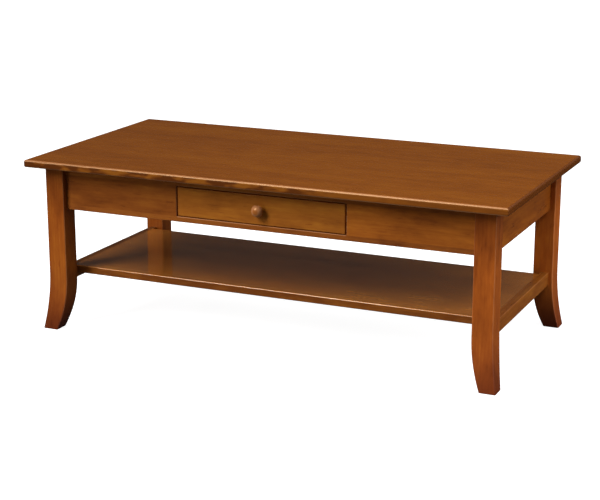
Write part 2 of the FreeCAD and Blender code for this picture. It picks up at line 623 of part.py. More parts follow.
left_side = drawer_side("drawer_side_left", f"-{DRAWER_HALF}", f"{dim('side_thick')} - {dim('groove_depth')}")
right_side = drawer_side("drawer_side_right", f"{DRAWER_HALF} - {dim('side_thick')}", "0")
sides = doc.addObject("Part::Compound", "drawer_sides")
sides.Links = [left_side, right_side]
INSIDE_HALF = f"({DRAWER_HALF} - {dim('side_thick')})"
GROOVE_HALF = f"({INSIDE_HALF} + {dim('groove_depth')})"
GROOVE_FRONT = f"({DRAWER_SHOULDER} - {dim('groove_depth')})"
KNOB_SPOT = ("0", f"{DRAWER_HEIGHT} / 2")

blank = piece("drawer_front_blank", "0", "0", DRAWER_BOTTOM)
face = box_outline(f"-{DRAWER_HALF}", "0", f"2 * {DRAWER_HALF}", DRAWER_HEIGHT)
prism(blank, "drawer_front_board", "XZ", face, DRAWER_FACE, dim("front_thick"))
ease(blank, "drawer_front_edges", dim("front_ease_radius"), lambda edge: lies_at(edge, "Y", DRAWER_FACE))
groove = box_outline(f"-{GROOVE_HALF}", dim("bottom_raise_height"), f"2 * {GROOVE_HALF}", dim("bottom_thick"))
prism(blank, "drawer_front_groove", "XZ", groove, GROOVE_FRONT, dim("groove_depth"), cut=True)
bore(blank, "drawer_front_bore", "XZ", [KNOB_SPOT], SCREW_BORE, DRAWER_FACE, dim("front_thick"))

back_blank = piece("drawer_back_blank", "0", "0", DRAWER_BOTTOM)
face = box_outline(f"-{DRAWER_HALF}", BACK_RAISE, f"2 * {DRAWER_HALF}", BACK_HEIGHT)
prism(back_blank, "drawer_back_board", "XZ", face, BACK_INSIDE, dim("back_thick"))
BACK_MIDDLE = f"({BACK_INSIDE} + {dim('back_thick')} / 2)"
BOTTOM_SPOTS = [(f"{step} * {INSIDE_HALF} / 2", BACK_MIDDLE) for step in (-1, 0, 1)]
bore(back_blank, "drawer_back_pilots", "XY", BOTTOM_SPOTS, SCREW_BORE, BACK_RAISE, PILOT_DEPTH)

for label, base in (("drawer_front", blank), ("drawer_back", back_blank)):
    cut = doc.addObject("Part::Cut", label)
    cut.Label = label
    cut.Base = base
    cut.Tool = sides

SHEET_BOTTOM = f"({DRAWER_BOTTOM} + {dim('bottom_raise_height')})"
bottom = piece("drawer_bottom", "0", "0", SHEET_BOTTOM)
BOTTOM_HALF = f"({GROOVE_HALF} - {dim('slide_gap')})"
BOTTOM_FRONT = f"({GROOVE_FRONT} + {dim('slide_gap')})"
BOTTOM_DEPTH = f"({DRAWER_REAR} - {BOTTOM_FRONT})"
plan = box_outline(f"-{BOTTOM_HALF}", BOTTOM_FRONT, f"2 * {BOTTOM_HALF}", BOTTOM_DEPTH)
prism(bottom, "drawer_bottom_sheet", "XY", plan, "0", dim("bottom_thick"))
bore(bottom, "drawer_bottom_bores", "XY", BOTTOM_SPOTS, SCREW_BORE, "0", dim("bottom_thick"))


# Knob: turned, with a neck, a cove and a domed head; its own frame has the axis along +z

KNOB_RADIUS = f"({dim('knob_diameter')} / 2)"
KNOB_PROFILE = [
    ("0", "0"),
    (f"{dim('knob_neck_diameter')} / 2", "0"),
    (f"{dim('knob_neck_diameter')} / 2", dim("knob_neck_length")),
    (KNOB_RADIUS, dim("knob_head_height")),
    ("0", dim("knob_length")),
]
knob = piece("drawer_knob", "0", DRAWER_FACE, f"{DRAWER_BOTTOM} + {DRAWER_HEIGHT} / 2")
knob.Placement.Rotation = FreeCAD.Rotation(FreeCAD.Vector(1, 0, 0), 90)
profile = sketch_on(knob, "knob_profile", "XZ", "0")
outline(profile, KNOB_PROFILE, {2: "before", 3: "axis"})
turned = knob.newObject("PartDesign::Revolution", "knob_turned")
turned.Profile = profile
turned.ReferenceAxis = (profile, ["V_Axis"])
ease(knob, "knob_rim", dim("knob_round_radius"), lambda edge: lies_at(edge, "Z", dim("knob_head_height")))
bore(knob, "knob_bore", "XY", [("0", "0")], SCREW_BORE, "0", dim("knob_bore_depth"))


# Fasteners: round-headed screws, dowels and bent steel clips, each kind a group of separate solids

def screw(length):
    """A screw along +z with its head below z = 0 and its shank from 0 to length."""
    shank = Part.makeCylinder(number(dim("screw_diameter")) / 2, length)
    thick = number(dim("screw_head_thick"))
    head = Part.makeCylinder(number(dim("screw_head_diameter")) / 2, thick, FreeCAD.Vector(0, 0, -thick))
    rounded = head.makeFillet(thick / 2, [edge for edge in head.Edges if edge.BoundBox.ZMax < -thick / 2])
    return rounded.fuse(shank).removeSplitter()


def group(label, solids):
    """One node of separate like solids, given as pairs of a solid and its place."""
    placed = []
    for solid, place in solids:
        copy = solid.copy()
        copy.Placement = place
        placed.append(copy)
    node = doc.addObject("Part::Feature", label)
    node.Label = label
    node.Shape = Part.makeCompound(placed)
    node.Placement = FreeCAD.Placement()


def at(x, y, z, axis=(0, 0, 1), angle=0):
    """A place from three expressions and a turn."""
    spot = FreeCAD.Vector(number(x), number(y), number(z))
    return FreeCAD.Placement(spot, FreeCAD.Rotation(FreeCAD.Vector(*axis), angle))


through_block = screw(number(f"{dim('block_thick')} + {dim('screw_bite_length')}"))
group("corner_block_screws", [(through_block, at(x, y, BLOCK_BOTTOM)) for x, y in BLOCK_SPOTS])
group("stop_block_screw", [(through_block, at(*STOP_SPOT, BLOCK_BOTTOM))])
through_clip = screw(number(f"{dim('clip_thick')} + {dim('screw_bite_length')}"))
FLANGE_BOTTOM = f"({UNDER_TOP} - {dim('clip_thick')})"
group("top_clip_screws", [(through_clip, at(x, y, FLANGE_BOTTOM)) for x, y in CLIP_SPOTS])
through_sheet = screw(number(f"{dim('bottom_thick')} + {dim('screw_bite_length')}"))
group("drawer_bottom_screws", [(through_sheet, at(x, y, SHEET_BOTTOM)) for x, y in BOTTOM_SPOTS])
KNOB_SCREW = f"{dim('front_thick')} + {dim('knob_bore_depth')} - {dim('mortise_end_gap')}"
through_front = screw(number(KNOB_SCREW))
knob_height = f"{DRAWER_BOTTOM} + {DRAWER_HEIGHT} / 2"
group("knob_screw", [(through_front, at("0", DRAWER_SHOULDER, knob_height, (1, 0, 0), 90))])

clip = piece("clip_blank")
metal, drop = dim("clip_thick"), dim("clip_drop_height")
CLIP_SECTION = [
    (dim("clip_tongue_length"), f"-{drop} - {metal}"),
    (dim("clip_tongue_length"), f"-{drop}"),
    (f"-{dim('clip_gap')}", f"-{drop}"),
    (f"-{dim('clip_gap')}", "0"),
    (f"-{dim('clip_flange_length')}", "0"),
    (f"-{dim('clip_flange_length')}", f"-{metal}"),
    (f"-{dim('clip_gap')} - {metal}", f"-{metal}"),
    (f"-{dim('clip_gap')} - {metal}", f"-{drop} - {metal}"),
]
prism(clip, "clip_section", "YZ", CLIP_SECTION, f"-{dim('clip_width')} / 2", dim("clip_width"))
bore(clip, "clip_bore", "XY", [("0", f"-{CLIP_SCREW}")], SCREW_BORE, f"-{metal}", metal)
group("top_clips", [(clip.Shape, at(x, y, UNDER_TOP, angle=turn)) for x, y, turn in CLIPS])

pin = Part.makeCylinder(number(dim("dowel_diameter")) / 2, number(dim("dowel_length")))
DOWEL_START = f"({RAIL_INSIDE} + {dim('dowel_in_rail_length')})"
group("shelf_dowels", [
    (pin, at(f"{sx} * {DOWEL_START}", y, z, (0, 1, 0), -90 * sx)) for sx in (-1, 1) for y, z in DOWEL_SPOTS
])


# Check every object, then write one file for each piece

doc.recompute()
HELPERS = {"drawer_sides", "drawer_front_blank", "drawer_back_blank", "clip_blank"}
for item in doc.Objects:
    if "Invalid" in item.State or "Error" in item.State:
        raise RuntimeError("not built: " + item.Label)
KINDS = ("PartDesign::Body", "Part::Cut", "Part::Feature")
nodes = [item for item in doc.Objects if item.TypeId in KINDS and item.Label not in HELPERS]
for node in nodes:
    if node.Shape.isNull() or not node.Shape.isValid():
        raise RuntimeError("not a valid solid: " + node.Label)
os.makedirs("parts", exist_ok=True)
for node in nodes:
    node.Shape.exportStep("parts/%s.step" % node.Label)
print("%d pieces written" % len(nodes))
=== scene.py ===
# %% [markdown]
# # A coffee table with one drawer
# The table is a low hardwood frame with a slab top, a shelf near the floor, one drawer in the front apron and
# legs that sweep outwards at the foot. Its solids come packed from the CAD model and already have the right
# shape, so they stay as they are. This lesson gives them their finish, adds the small turned and threaded
# pieces that a CAD solid leaves plain, and sets up a small photo studio around them.

# %% Load the frame
import json
import math

import bpy
import numpy as np
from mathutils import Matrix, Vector


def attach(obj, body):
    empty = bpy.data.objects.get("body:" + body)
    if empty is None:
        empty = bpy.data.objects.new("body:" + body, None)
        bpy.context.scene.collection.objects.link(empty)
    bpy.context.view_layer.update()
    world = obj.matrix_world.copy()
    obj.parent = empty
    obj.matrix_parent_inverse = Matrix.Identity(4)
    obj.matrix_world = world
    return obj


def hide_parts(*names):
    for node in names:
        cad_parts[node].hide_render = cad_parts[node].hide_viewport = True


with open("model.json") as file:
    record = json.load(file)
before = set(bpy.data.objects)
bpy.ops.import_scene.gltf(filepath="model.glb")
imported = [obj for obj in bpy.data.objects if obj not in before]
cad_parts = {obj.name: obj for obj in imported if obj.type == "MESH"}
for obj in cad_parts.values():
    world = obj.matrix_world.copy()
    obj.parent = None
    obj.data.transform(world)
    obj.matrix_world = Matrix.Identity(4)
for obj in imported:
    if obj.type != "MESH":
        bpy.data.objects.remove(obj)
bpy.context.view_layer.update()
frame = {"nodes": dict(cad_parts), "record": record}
nodes = frame["nodes"]

# %% [markdown]
# ## The camera
# A photo of a box-shaped object tells where it was taken from: the long edges meet in vanishing points, and
# those fix the focal length and the two angles. Here a long lens stands about four metres off, to the right
# of the table and a little above it. Blender gives the focal length in millimetres on a 36 mm wide sensor, so
# the length in pixels is scaled by the sensor's width over the picture's width.

# %% Camera
PICTURE_WIDTH = 600
FOCAL_PIXELS = 1551.6
SENSOR_WIDTH = 36.0
CAMERA_PLACE = (1.5148, -3.3903, 1.2064)
CAMERA_TILT = math.radians(90 - 15.2)
CAMERA_TURN = math.radians(24.24)

lens = bpy.data.cameras.new("studio_lens")
lens.sensor_width = SENSOR_WIDTH
lens.lens = FOCAL_PIXELS * SENSOR_WIDTH / PICTURE_WIDTH
camera = bpy.data.objects.new("studio_camera", lens)
camera.location = CAMERA_PLACE
camera.rotation_euler = (CAMERA_TILT, 0.0, CAMERA_TURN)
bpy.context.scene.collection.objects.link(camera)
bpy.context.scene.camera = camera
bpy.context.scene.view_settings.view_transform = "Standard"
print("lens: %.1f mm" % lens.lens)

# %% [markdown]
# ## A short way to write node trees
# A finish is a tree of nodes. Written out node by node it is long to read, so this small class adds one node
# per call and hands back the socket that the next call needs. A plain number goes straight onto a socket.

# %% Node helper
class NodeTree:
    """Adds nodes to a tree; most methods return the new node's main output."""

    def __init__(self, owner):
        owner.use_nodes = True
        self.tree = owner.node_tree
        self.tree.nodes.clear()

    def add(self, kind, inputs=None, output=0, **settings):
        """One node of a kind, with settings on the node and values or links on its inputs."""
        node = self.tree.nodes.new("ShaderNode" + kind)
        for name, value in settings.items():
            setattr(node, name, value)
        for socket, value in (inputs or {}).items():
            self.join(value, node.inputs[socket])
        return node if output is None else node.outputs[output]

    def join(self, value, socket):
        """Links an output to a socket, or sets a plain value on it."""
        if isinstance(value, bpy.types.NodeSocket):
            self.tree.links.new(value, socket)
        else:
            socket.default_value = value

    def place(self):
        """Object coordinates, in metres."""
        return self.add("TexCoord", output="Object")

    def normal(self):
        """The way the surface faces."""
        return self.add("NewGeometry", output="Normal")

    def parts(self, vector):
        """The x, y and z parts of a vector."""
        return self.add("SeparateXYZ", {0: vector}, None).outputs

    def math(self, operation, *values):
        """A Math node."""
        return self.add("Math", dict(enumerate(values)), operation=operation)

    def noise(self, vector, detail=2.0, roughness=0.5, output="Fac"):
        """A Noise texture with the size of its pattern set by the vector alone."""
        inputs = {"Vector": vector, "Scale": 1.0, "Detail": detail, "Roughness": roughness}
        return self.add("TexNoise", inputs, output)

    def stretch(self, vector, scale, shift=(0.0, 0.0, 0.0)):
        """The vector scaled along each axis, then shifted."""
        return self.add("Mapping", {"Vector": vector, "Scale": scale, "Location": shift})

    def remap(self, value, low, high, start=0.0, end=1.0):
        """Low to high becomes start to end with a soft S curve, held at both ends."""
        inputs = {"Value": value, "From Min": low, "From Max": high, "To Min": start, "To Max": end}
        return self.add("MapRange", inputs, interpolation_type="SMOOTHSTEP")

    def blend(self, factor, first, second, mode="MIX"):
        """Two colours mixed by a factor."""
        node = self.add("Mix", output=None, data_type="RGBA", blend_type=mode)
        for index, value in ((0, factor), (6, first), (7, second)):
            self.join(value, node.inputs[index])
        return node.outputs[2]

    def ramp(self, factor, stops):
        """A colour ramp through stops of (place, colour)."""
        node = self.add("ValToRGB", {"Fac": factor}, output=None)
        elements = node.color_ramp.elements
        while len(elements) < len(stops):
            elements.new(0.5)
        for element, (place, colour) in zip(elements, stops):
            element.position = place
            element.color = (*colour, 1.0)
        return node.outputs[0]

    def surface(self, inputs):
        """A Principled shader with these inputs, joined to the material's output."""
        self.add("OutputMaterial", {"Surface": self.add("BsdfPrincipled", inputs)}, None)


def new_material(name):
    """A new material and its empty tree."""
    material = bpy.data.materials.new(name)
    return material, NodeTree(material)


print("node helper ready")

# %% [markdown]
# ## Floor and surroundings
# The table stands on a plain pale sweep of paper. The camera sees the paper nearly white with a faint soft
# shadow under the table: white light of its own mixed with a part that the lamps and the shadow shape. The
# lacquer is another matter: at a flat angle it mirrors the room, and a white room would wash the brown out,
# so mirrored rays see the same white paper strongly dimmed, as in a studio with its walls in the dark. All
# other rays find a weak light, even from most sides and stronger from low behind the table, where lit paper
# rises. It reaches the rear half of the shelf, which the top keeps in the shade of the lamps.

# %% Floor and world
FLOOR_HALF = 30.0
FLOOR_GLOW = 0.90
FLOOR_BOUNCE = (0.10, 0.10, 0.10, 1.0)
BLACK = (0.0, 0.0, 0.0, 1.0)
WHITE = (1.0, 1.0, 1.0, 1.0)
PAPER_DARK = (0.53, 0.53, 0.53)
PAPER_LIGHT = (0.57, 0.57, 0.57)
MOTTLE_SCALE = (3.0, 3.0, 3.0)
MIRRORED_FLOOR = 0.02
MIRRORED_ROOM = 0.036
ROOM_LEVEL = 0.19
REAR_PAPER = 1.20


def ray_kinds(tree):
    """Two masks: rays from the camera or through glass, and rays mirrored by a glossy surface."""
    path = tree.add("LightPath", output=None).outputs
    return tree.math("MAXIMUM", path["Is Camera Ray"], path["Is Transmission Ray"]), path["Is Glossy Ray"]


def paper_floor():
    """A large square at floor level, white to the camera apart from the table's shadow."""
    x, y = np.meshgrid((-FLOOR_HALF, FLOOR_HALF), (-FLOOR_HALF, FLOOR_HALF))
    corners = np.stack([x, y, np.zeros_like(x)], -1).reshape(-1, 3)
    mesh = bpy.data.meshes.new("paper_floor")
    mesh.from_pydata(corners.tolist(), [], [(0, 1, 3, 2)])
    material, tree = new_material("pale_paper")
    mottle = tree.noise(tree.stretch(tree.place(), MOTTLE_SCALE), 4.0)
    paper = tree.ramp(mottle, [(0.3, PAPER_DARK), (0.7, PAPER_LIGHT)])
    direct, mirrored = ray_kinds(tree)
    bounce = tree.blend(mirrored, FLOOR_BOUNCE, BLACK)
    lit = tree.add("BsdfDiffuse", {"Color": tree.blend(direct, bounce, paper)})
    dimmed = tree.math("MULTIPLY", mirrored, MIRRORED_FLOOR)
    strength = tree.math("MULTIPLY_ADD", direct, FLOOR_GLOW, dimmed)
    glow = tree.add("Emission", {"Color": WHITE, "Strength": strength})
    tree.add("OutputMaterial", {"Surface": tree.add("AddShader", {0: lit, 1: glow})}, None)
    mesh.materials.append(material)
    floor = bpy.data.objects.new("paper_floor", mesh)
    bpy.context.scene.collection.objects.link(floor)


def room():
    """White to the camera, dim where it is mirrored, and a weak light for everything else: an even level plus
    the lit paper's, which grows with the rearward part of the way and fades with the upward part."""
    world = bpy.data.worlds.new("studio_room")
    bpy.context.scene.world = world
    tree = NodeTree(world)
    direct, mirrored = ray_kinds(tree)
    other = tree.math("SUBTRACT", 1.0, tree.math("MAXIMUM", direct, mirrored))
    way = tree.parts(tree.add("TexCoord", output="Generated"))
    rearward = tree.math("MAXIMUM", way[1], 0.0)
    low_behind = tree.math("MULTIPLY", rearward, tree.math("SUBTRACT", 1.0, way[2]))
    level = tree.math("MULTIPLY_ADD", low_behind, REAR_PAPER, ROOM_LEVEL)
    strength = tree.math("MULTIPLY_ADD", mirrored, MIRRORED_ROOM, direct)
    strength = tree.math("MULTIPLY_ADD", other, level, strength)
    surface = tree.add("Background", {"Color": WHITE, "Strength": strength})
    tree.add("OutputWorld", {"Surface": surface}, None)


paper_floor()
room()
print("floor and room ready")

# %% [markdown]
# ## Lamps
# The shadows on a photographed table tell where its lamps stood. The shadow of the top fades slowly down the
# front apron, so the main lamp is tall: the overhang hides its upper end for longer than its lower end. The
# left legs and the knob throw their shadows to the right, so it stands to the left, and far enough away to
# light both ends alike. A low lamp on the same side reaches under the apron to the rear legs. Two lamps on
# the right light the right-hand faces and the top, and the table itself keeps them off the inner sides of the
# left legs. Low lamps glare in a flat lacquered top. A photographer puts a polarising filter on them, and
# here the low lamp and the side lamp are left out of mirror images.

# %% Lamps
TABLE_MIDDLE = (0.2, 0.0, 0.25)
LAMPS = {
    "front_lamp": dict(place=(-2.75, -4.65, 5.25), width=2.4, height=5.4, watts=590.0, mirrored=True),
    "low_lamp": dict(place=(-4.00, -4.10, 0.95), width=1.0, height=1.0, watts=44.0, mirrored=False),
    "end_lamp": dict(place=(1.50, -0.55, 2.10), width=1.0, height=1.0, watts=25.0, mirrored=True),
    "side_lamp": dict(place=(3.85, 0.45, 1.90), width=2.0, height=2.0, watts=72.0, mirrored=False),
}


def soft_lamp(name, place, width, height, watts, mirrored):
    """A rectangular area lamp that faces the table. One that isn't mirrored is not met by chance by scattered
    rays either, because those that graze the lacquer would leave white specks."""
    data = bpy.data.lights.new(name, "AREA")
    data.shape = "RECTANGLE"
    data.size = width
    data.size_y = height
    data.energy = watts
    data.cycles.use_multiple_importance_sampling = mirrored
    lamp = bpy.data.objects.new(name, data)
    lamp.location = place
    lamp.rotation_euler = (Vector(TABLE_MIDDLE) - Vector(place)).to_track_quat("-Z", "Y").to_euler()
    lamp.visible_glossy = mirrored
    bpy.context.scene.collection.objects.link(lamp)


for name, lamp in LAMPS.items():
    soft_lamp(name, **lamp)
print("lamps:", ", ".join(LAMPS))

# %% [markdown]
# ## The figure of the wood
# The visible wood is a close-grained hardwood with a warm brown stain under satin lacquer. Painted as a flat
# colour it would look like plastic. A picture would need unwrapping and would not match where two faces of a
# board meet. Here the wood is solid: the pattern fills space, and each board cuts through it as a saw would.
# Along the grain everything is drawn out. Growth rings are distances from the tree's middle, bent a little by
# noise; pores and flecks are short dark dashes; broad noise gives lighter and darker stretches. Each scale
# counts the pattern's repeats per metre, first along the grain and then twice across it.

# %% Grain, rings and tone
TURN_TO_GRAIN = {
    "X": (0.0, 0.0, 0.0),
    "Y": (0.0, 0.0, math.radians(-90)),
    "Z": (0.0, math.radians(90), 0.0),
}
RING_WIDTH = 0.0085
RING_BEND = 0.035
WANDER_SCALE = (1.6, 7.0, 7.0)
BROAD_SCALE = (1.8, 12.0, 12.0)
BLOTCH_SCALE = (14.0, 42.0, 42.0)
FIBRE_SCALE = (9.0, 210.0, 210.0)
PORE_SCALE = (26.0, 900.0, 900.0)
FLECK_SCALE = (26.0, 170.0, 170.0)
FLECK_SHIFT = (3.0, 1.0, 2.0)
MIDDLE_TONE = 0.5


def grain_space(tree, grain, shift):
    """Object coordinates turned so that x runs along the grain, shifted so that boards differ."""
    inputs = {"Vector": tree.place(), "Rotation": TURN_TO_GRAIN[grain], "Location": shift}
    return tree.add("Mapping", inputs)


def growth_rings(tree, along):
    """A saw-tooth over the distance from the pith, which noise bends: pale early wood, dark late wood."""
    wander = tree.noise(tree.stretch(along, WANDER_SCALE), 3.0, 0.55, "Color")
    bend = tree.add("VectorMath", {0: wander, 1: (0.5, 0.5, 0.5)}, operation="SUBTRACT")
    reach = tree.add("VectorMath", {0: bend, "Scale": RING_BEND}, operation="SCALE")
    bent = tree.add("VectorMath", {0: along, 1: reach}, operation="ADD")
    flat = tree.add("VectorMath", {0: bent, 1: (0.0, 1.0, 1.0)}, operation="MULTIPLY")
    radius = tree.add("VectorMath", {0: flat}, "Value", operation="LENGTH")
    year = tree.math("FRACT", tree.math("DIVIDE", radius, RING_WIDTH))
    rising = tree.remap(year, 0.05, 0.80)
    falling = tree.remap(year, 0.86, 1.0, 1.0, 0.0)
    return tree.math("MULTIPLY", rising, falling)


def wood_tone(tree, along, figure):
    """The wood's light and dark about a middle tone, with the layers that a finish uses again: broad
    stretches, fibres and pores. Stretches, blotches and fibres go both ways; the rest only darkens."""
    broad = tree.noise(tree.stretch(along, BROAD_SCALE), 3.0)
    blotch = tree.noise(tree.stretch(along, BLOTCH_SCALE), 3.0, 0.6)
    fibre = tree.noise(tree.stretch(along, FIBRE_SCALE), 3.0, 0.6)
    pores = tree.remap(tree.noise(tree.stretch(along, PORE_SCALE), 1.0), 0.60, 0.72)
    flecks = tree.remap(tree.noise(tree.stretch(along, FLECK_SCALE, FLECK_SHIFT), 2.0), 0.66, 0.78)
    clear_rings = tree.math("MULTIPLY", growth_rings(tree, along), tree.remap(blotch, 0.40, 0.70))
    tone = MIDDLE_TONE
    for layer, weight in ((broad, 0.80), (blotch, 0.80), (fibre, 0.26)):
        tone = tree.math("MULTIPLY_ADD", tree.math("SUBTRACT", layer, 0.5), weight * figure, tone)
    for layer, weight in ((clear_rings, -0.10 * figure), (flecks, -0.20), (pores, -0.08 * figure)):
        tone = tree.math("MULTIPLY_ADD", layer, weight, tone)
    return tone, broad, fibre, pores


print("figure of the wood ready")

# %% [markdown]
# ## Edges and ends
# The surface normal tells where on a board a point lies. Where it is along no axis an edge is rounded, and
# there the colour is lighter, partly as a finish rubbed thinner and partly as a painted highlight; on the
# drawer front it is dark red instead, painted shade from the gap round the drawer. Where it is along the
# grain the board is cut across, and end grain soaks up more stain and hides the figure. On the long edges of
# the top the figure shows as patches of light and dark, clearer to the left than to the right.

# %% Masks for edges and ends
PATCH_SCALE = (20.0, 60.0, 60.0)
PATCHES_CLEAR = -0.05
PATCHES_FAINT = 0.30
FAINT_SHARE = 0.15


def rounded_edge(tree):
    """0 on faces along an axis, rising to 1 where an edge is rounded: 1 less the normal's largest part."""
    parts = tree.parts(tree.add("VectorMath", {0: tree.normal()}, operation="ABSOLUTE"))
    largest = tree.math("MAXIMUM", tree.math("MAXIMUM", parts[0], parts[1]), parts[2])
    return tree.remap(tree.math("SUBTRACT", 1.0, largest), 0.03, 0.16)


def grain_share(tree, grain):
    """How far the surface faces along the grain: 0 on a board's faces, 1 on its sawn end."""
    axis = [1.0 if name == grain else 0.0 for name in "XYZ"]
    facing = tree.add("VectorMath", {0: tree.normal(), 1: axis}, "Value", operation="DOT_PRODUCT")
    return tree.math("ABSOLUTE", facing)


def long_edge(tree):
    """1 on the long upright edges of a board that lies flat, below their upper round, and 0 elsewhere."""
    facing = tree.parts(tree.normal())
    below_round = tree.remap(facing[2], 0.20, 0.55, 1.0, 0.0)
    front_or_rear = tree.remap(tree.math("ABSOLUTE", facing[1]), 0.3, 0.6)
    return tree.math("MULTIPLY", below_round, front_or_rear)


def edge_change(tree, along, edge_figure, edge_tone):
    """Change of tone on a long edge: an even part plus patches that get fainter along the table."""
    x = tree.parts(tree.place())[0]
    strength = tree.remap(x, PATCHES_CLEAR, PATCHES_FAINT, edge_figure, FAINT_SHARE * edge_figure)
    patch = tree.remap(tree.noise(tree.stretch(along, PATCH_SCALE), 2.0), 0.36, 0.62, -1.0, 0.4)
    return tree.math("MULTIPLY_ADD", patch, strength, edge_tone)


print("masks ready")

# %% [markdown]
# ## Stain, painted shade and lacquer
# The tone picks a colour from three shades of stain. Painted shade is added where the table's own shade
# falls:
# each leg is darker near its top, under the overhang, and darker towards the floor, which a colour ramp over
# the height does here, and the upper faces of the shelf rails are darker. The lacquer is a little yellow, so
# its shine is tinted too.

# %% Wood finish
STAIN_DARK = (0.150, 0.0370, 0.0065)
STAIN_MIDDLE = (0.300, 0.0850, 0.0110)
STAIN_LIGHT = (0.440, 0.1480, 0.0160)
# Rounded edges: lighter as wear and a painted highlight, and on the drawer front dark red as painted shade.
EDGE_WEAR_AND_HIGHLIGHT = (0.560, 0.2650, 0.1250)
EDGE_PAINTED_SHADE = (0.190, 0.0330, 0.0060)
END_GRAIN = (0.52, 0.47, 0.66)
LACQUER_TINT = (1.0, 0.66, 0.34, 1.0)
WOOD_IOR = 1.5
FIBRE_BUMP = 0.05
FIBRE_DEPTH = 0.00025
LEG_HEIGHT = 0.4128
# A colour ramp over a leg's height: painted shade, darker near the top under the overhang and darker towards
# the floor.
LEG_PAINTED_SHADE = [
    (0.00, (0.50, 0.41, 0.80)),
    (0.20, (0.82, 0.78, 1.00)),
    (0.42, (0.95, 0.94, 1.00)),
    (0.68, (1.00, 1.00, 1.00)),
    (0.80, (0.76, 0.75, 0.82)),
    (0.92, (0.68, 0.67, 0.78)),
]


def stain_ramp(tree, tone, tint):
    """The three shades of stain, each multiplied by the board's tint."""
    stops = [(0.15, STAIN_DARK), (0.50, STAIN_MIDDLE), (0.85, STAIN_LIGHT)]
    return tree.ramp(tone, [(place, tuple(np.multiply(colour, tint).tolist())) for place, colour in stops])


def stained_wood(name, grain, shift, tint=(1.0, 1.0, 1.0), *, figure=1.0, gloss=0.20, coat=0.0,
                 edge_tone=0.0, edge_figure=0.0, edge_tint=(1.0, 1.0, 1.0), soak=0.95, edge_wear_and_light=0.45,
                 edge_colour=EDGE_WEAR_AND_HIGHLIGHT, upper=1.0, painted_shade=False):
    """Stained, lacquered hardwood with its grain along one axis.

    Figure is the strength of the pattern, gloss the least roughness and coat the weight of a second coat. The
    edge values change the long upright edges, darker there as painted shade on the shelf, and soak darkens
    end grain. The edge amount and colour recolour rounded edges: lighter as wear and a painted highlight,
    dark red as painted shade. Upper darkens faces that look up, a painted shade, and the painted shade ramp
    darkens a leg near its top and towards its foot."""
    material, tree = new_material(name)
    along = grain_space(tree, grain, shift)
    tone, broad, fibre, pores = wood_tone(tree, along, figure)
    on_edge = 0.0
    if edge_figure or edge_tone:
        on_edge = long_edge(tree)
        tone = tree.math("MULTIPLY_ADD", edge_change(tree, along, edge_figure, edge_tone), on_edge, tone)
    soaked = tree.remap(grain_share(tree, grain), 0.04, 0.42, 0.0, soak)
    dry = tree.math("SUBTRACT", 1.0, soaked)
    tone = tree.math("MULTIPLY_ADD", tree.math("SUBTRACT", tone, MIDDLE_TONE), dry, MIDDLE_TONE)

    stain = tree.blend(on_edge, stain_ramp(tree, tone, tint), (*edge_tint, 1.0), "MULTIPLY")
    # Rounded edges recoloured: lighter as wear and a painted highlight; with the dark colour, painted shade
    # instead.
    edge_wear_and_light_mask = tree.math("MULTIPLY", rounded_edge(tree), tree.remap(broad, 0.25, 0.65, 0.5 * edge_wear_and_light, edge_wear_and_light))
    edge_wear_and_light_mask = tree.math("MULTIPLY", edge_wear_and_light_mask, dry)
    colour = tree.blend(edge_wear_and_light_mask, stain, (*np.multiply(edge_colour, tint[0]).tolist(), 1.0))
    colour = tree.blend(soaked, colour, (*END_GRAIN, 1.0), "MULTIPLY")
    # Faces that look up are made darker: painted shade on the shelf rails.
    if upper < 1.0:
        looks_up = tree.remap(tree.parts(tree.normal())[2], 0.5, 0.9)
        colour = tree.blend(looks_up, colour, (upper, upper, upper, 1.0), "MULTIPLY")
    # Painted shade on a leg: darker near its top and towards its foot.
    if painted_shade:
        above_floor = tree.parts(tree.place())[2]
        shade = tree.ramp(tree.math("DIVIDE", above_floor, LEG_HEIGHT), LEG_PAINTED_SHADE)
        colour = tree.blend(1.0, colour, shade, "MULTIPLY")

    height = tree.math("MULTIPLY_ADD", pores, -0.4, tree.math("MULTIPLY", fibre, 0.5))
    height = tree.math("MULTIPLY", height, dry)
    tree.surface({
        "Base Color": colour,
        "Roughness": tree.math("MULTIPLY_ADD", fibre, 0.10, gloss),
        "Normal": tree.add("Bump", {"Strength": FIBRE_BUMP, "Distance": FIBRE_DEPTH, "Height": height}),
        "IOR": WOOD_IOR,
        "Specular IOR Level": 0.5,
        "Specular Tint": LACQUER_TINT,
        "Coat Weight": coat,
        "Coat Roughness": 0.07,
    })
    return material


def dress(names, material):
    """Puts one finish on CAD nodes."""
    for name in names:
        nodes[name].material_slots[0].material = material


print("wood finish ready")

# %% [markdown]
# ## Which board has which grain
# The joiner lays the grain along each board's length: along the table in the top, shelf, long aprons and
# drawer front, across it in the end aprons and rails, and upright in the legs. Each board is sawn from
# another place in the tree and takes the stain a little more or less, so each finish has a shift and a tint
# of its own. The tints are partly painted light too: the right front apron board is lighter and the left one
# darker for light stronger on the right, the shelf is lighter against the shade under the top, the top is
# darker against the strong light from above, and each leg is lighter or darker for the light that falls on
# it. The two rails of the front apron come from one plank and share one.

# %% Dress the stained wood
END_APRON_TINT = (1.0, 0.92, 0.75)
LEG_TINT = (1.18, 1.0, 1.0)
# Each leg's tone, partly painted light: a leg is made lighter or darker for the light that falls on it.
LEG_TONE_AND_LIGHT = {"front_left": 0.82, "front_right": 1.12, "rear_left": 0.80, "rear_right": 1.24}

# The top: its darker tint is partly painted shade against the strong light from above, and its rounded edges
# are made much lighter, a painted highlight along the front.
top = stained_wood("top_wood", "X", (2.73, -0.31, -0.48), (0.66, 0.62, 0.22), figure=0.5, gloss=0.22,
                   edge_figure=0.60, edge_tint=(1.0, 1.08, 2.8), soak=0.80, edge_wear_and_light=0.85)
